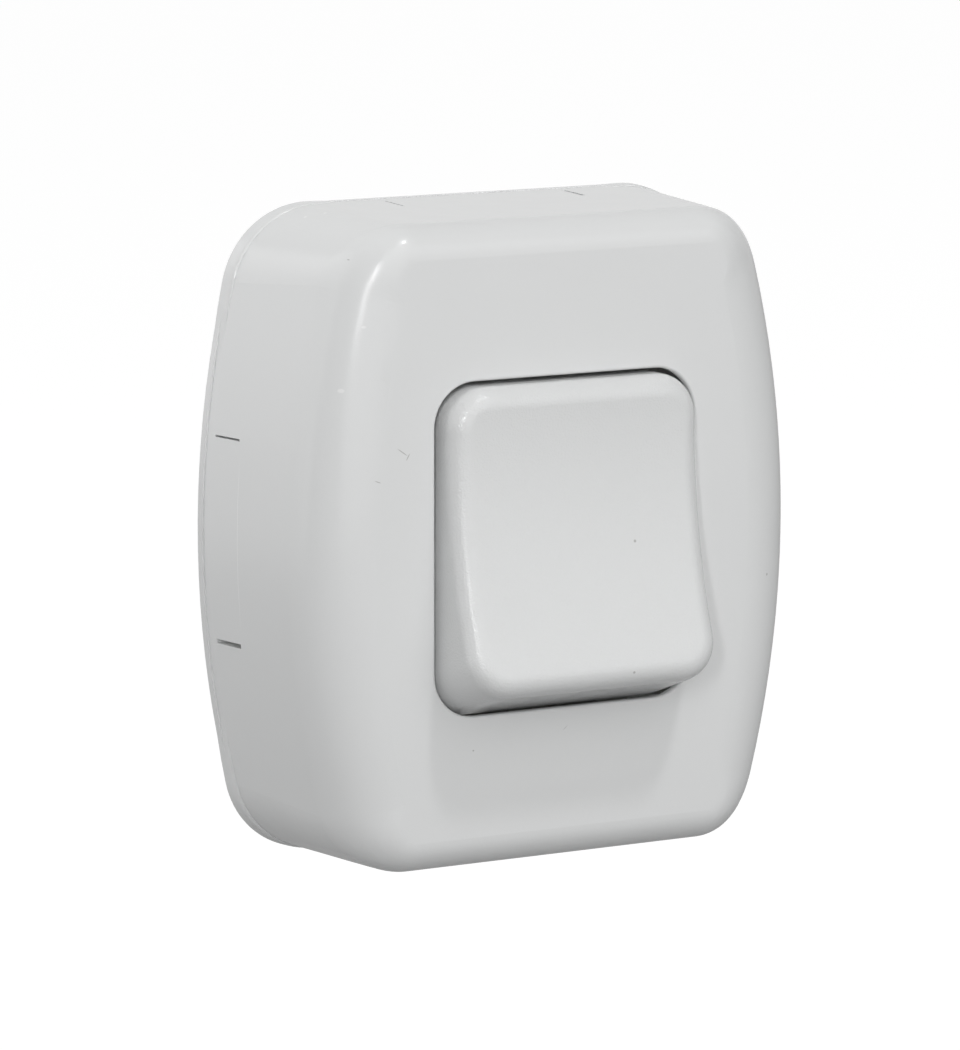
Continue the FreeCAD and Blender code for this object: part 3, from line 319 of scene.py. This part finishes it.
def rim_section(side, end, share):
    """The rim's profile at a share of its sweep round one corner, laid on the cover's wall."""
    cover = nodes["cover"]
    placed = cover.matrix_world
    to_local = placed.inverted()
    turn = math.radians(RIM_FROM + RIM_SWEEP * share)
    away = Vector((side * math.cos(turn), 0, end * math.sin(turn)))
    rise = RIM_HEIGHT * math.sin(math.pi * share) ** RIM_FADE
    points = []
    for depth, part in RIM_PROFILE:
        start = (Vector((side * RIM_MIDDLE[0], depth, end * RIM_MIDDLE[1])) + away * CAST_FROM) * MM
        hit, spot, normal, _ = cover.ray_cast(to_local @ start, to_local.to_3x3() @ -away)
        if not hit:
            raise RuntimeError("no cover wall under the rim")
        out = placed.to_3x3() @ normal
        out.y = 0
        height = RIM_ROOT if part == BURIED else rise * part
        points.append(placed @ spot + out.normalized() * height * MM)
    return points


def rim_corner(name, side, end):
    """A crescent proud of the cover's wall, fading into it at both ends, made by extruding its profile."""
    form = bmesh.new()
    before = rim_section(side, end, 0)
    face = form.faces.new([form.verts.new(point) for point in before])
    for step in range(1, RIM_STEPS + 1):
        made = bmesh.ops.extrude_face_region(form, geom=[face])["geom"]
        if step > 1:
            bmesh.ops.delete(form, geom=[face], context="FACES_ONLY")
        face = next(item for item in made if isinstance(item, bmesh.types.BMFace))
        after = rim_section(side, end, step / RIM_STEPS)
        for vert in face.verts:
            nearest = min(range(len(before)), key=lambda place: (before[place] - vert.co).length)
            vert.co = after[nearest]
        before = after
    bmesh.ops.recalc_face_normals(form, faces=form.faces)
    mesh = bpy.data.meshes.new(name)
    form.to_mesh(mesh)
    form.free()
    mesh.shade_smooth()
    mesh.set_sharp_from_angle(angle=math.radians(RIM_CREASE))
    mesh.materials.append(cover_plastic)
    rim = bpy.data.objects.new(name, mesh)
    scene.collection.objects.link(rim)
    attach(rim, "housing")


for name, side, end in (
    ("rim_corner_upper_left", -1, 1),
    ("rim_corner_upper_right", 1, 1),
    ("rim_corner_lower_left", -1, -1),
    ("rim_corner_lower_right", 1, -1),
):
    rim_corner(name, side, end)


# Camera: about 0.6 m away, 29 degrees to the left and 9 above


CAMERA_LEFT, CAMERA_UP, CAMERA_AWAY = math.radians(29.1), math.radians(9.3), 0.587
CAMERA_SLIDE, CAMERA_LIFT = 0.0055, -0.00079
ANCHOR = Vector((0, -0.01477, 0))
FOCAL_MM, SENSOR_MM = 203.1, 36.0


def place_camera():
    """Looks at the anchor, then slides in its own plane until the frame is the photograph's."""
    level = math.cos(CAMERA_UP)
    back = Vector(
        (-math.sin(CAMERA_LEFT) * level, -math.cos(CAMERA_LEFT) * level, math.sin(CAMERA_UP))
    )
    right = Vector((math.cos(CAMERA_LEFT), -math.sin(CAMERA_LEFT), 0))
    up = back.cross(right)
    data = bpy.data.cameras.new("Camera")
    data.lens, data.sensor_width = FOCAL_MM, SENSOR_MM
    data.clip_end = 50
    camera = bpy.data.objects.new("Camera", data)
    scene.collection.objects.link(camera)
    rotation = Matrix((right, up, back)).transposed()
    spot = ANCHOR + back * CAMERA_AWAY - right * CAMERA_SLIDE - up * CAMERA_LIFT
    camera.matrix_world = Matrix.Translation(spot) @ rotation.to_4x4()
    scene.camera = camera


place_camera()


# Light: a high key lamp, a tall strip at the front left, a wide panel in front and one at the back left


AIM = Vector((0, -0.02, 0))


def lamp(name, direction, distance, width, height, watts):
    """A round or oval lamp that faces the switch from that direction; distance and sizes in metres."""
    data = bpy.data.lights.new(name, "AREA")
    data.shape, data.size, data.size_y, data.energy = "ELLIPSE", width, height, watts
    item = bpy.data.objects.new(name, data)
    scene.collection.objects.link(item)
    toward = Vector(direction).normalized()
    item.matrix_world = (
        Matrix.Translation(AIM + toward * distance)
        @ toward.to_track_quat("Z", "Y").to_matrix().to_4x4()
    )


lamp("Key", (0.27, -1.0, 1.93), distance=1.5, width=0.14, height=0.14, watts=4.4)
lamp("Strip", (-0.6, -0.73, 0.29), distance=1.5, width=0.06, height=0.46, watts=3.4)
lamp("Front panel", (0.0, -1.0, 0.25), distance=1.2, width=2.0, height=2.0, watts=12.2)
lamp("Back left panel", (-1.0, 0.6, 0.25), distance=1.0, width=1.4, height=1.4, watts=4.4)


FRONT_LEVEL, BACK_LEVEL = 0.24, 0.92


def make_world():
    """White to the eye; the light is stronger from behind, where the white sweep is, than from the front."""
    world = bpy.data.worlds.new("Studio")
    world.use_nodes = True
    tree = world.node_tree
    tree.nodes.clear()
    direction = add(tree, "ShaderNodeTexCoord").outputs["Generated"]
    parts = add(tree, "ShaderNodeSeparateXYZ", links={"Vector": direction})
    level = add(
        tree,
        "ShaderNodeMapRange",
        {"From Min": 0.0, "From Max": 1.0, "To Min": FRONT_LEVEL, "To Max": BACK_LEVEL},
        {"Value": parts.outputs["Y"]},
    )
    seen = add(tree, "ShaderNodeLightPath")
    strength = add(
        tree,
        "ShaderNodeMix",
        {"data_type": "FLOAT", "B": 1.0},
        {"Factor": seen.outputs["Is Camera Ray"], "A": level.outputs[0]},
    )
    backdrop = add(
        tree,
        "ShaderNodeBackground",
        {"Color": linear("#FFFFFF")},
        {"Strength": strength.outputs[0]},
    )
    add(tree, "ShaderNodeOutputWorld", links={"Surface": backdrop.outputs[0]})
    scene.world = world


make_world()


FLOOR_HALF, FLOOR_HEIGHT = 4.0, -0.2
SEEN_WHITE, MIRRORED_WHITE = 0.9, 0.28


def make_floor():
    """A pale floor well below the switch, white to the eye but for the shadow on it."""
    mesh = bpy.data.meshes.new("floor")
    form = bmesh.new()
    bmesh.ops.create_grid(form, x_segments=1, y_segments=1, size=FLOOR_HALF)
    bmesh.ops.translate(form, verts=form.verts, vec=(0, 0, FLOOR_HEIGHT))
    form.to_mesh(mesh)
    form.free()
    floor = bpy.data.objects.new("floor", mesh)
    scene.collection.objects.link(floor)
    material, tree, shader = new_material("pale_painted_floor")
    shader.inputs["Base Color"].default_value = linear("#808080")
    shader.inputs["Roughness"].default_value = 0.9
    shader.inputs["Specular IOR Level"].default_value = 0.0
    seen = add(tree, "ShaderNodeLightPath")
    mirrored = add(
        tree,
        "ShaderNodeMath",
        {"operation": "MAXIMUM"},
        {0: seen.outputs["Is Glossy Ray"], 1: seen.outputs["Is Transmission Ray"]},
    )
    faint = add(
        tree, "ShaderNodeMath", {"operation": "MULTIPLY", 1: MIRRORED_WHITE}, {0: mirrored.outputs[0]}
    )
    lift = add(
        tree,
        "ShaderNodeMath",
        {"operation": "MULTIPLY_ADD", 1: SEEN_WHITE},
        {0: seen.outputs["Is Camera Ray"], 2: faint.outputs[0]},
    )
    glow = add(
        tree,
        "ShaderNodeEmission",
        {"Color": linear("#FFFFFF")},
        {"Strength": lift.outputs[0]},
    )
    both = add(tree, "ShaderNodeAddShader", links={0: shader.outputs[0], 1: glow.outputs[0]})
    tree.links.new(both.outputs[0], tree.nodes["Output"].inputs["Surface"])
    mesh.materials.append(material)


make_floor()

scene.view_settings.view_transform = "Standard"
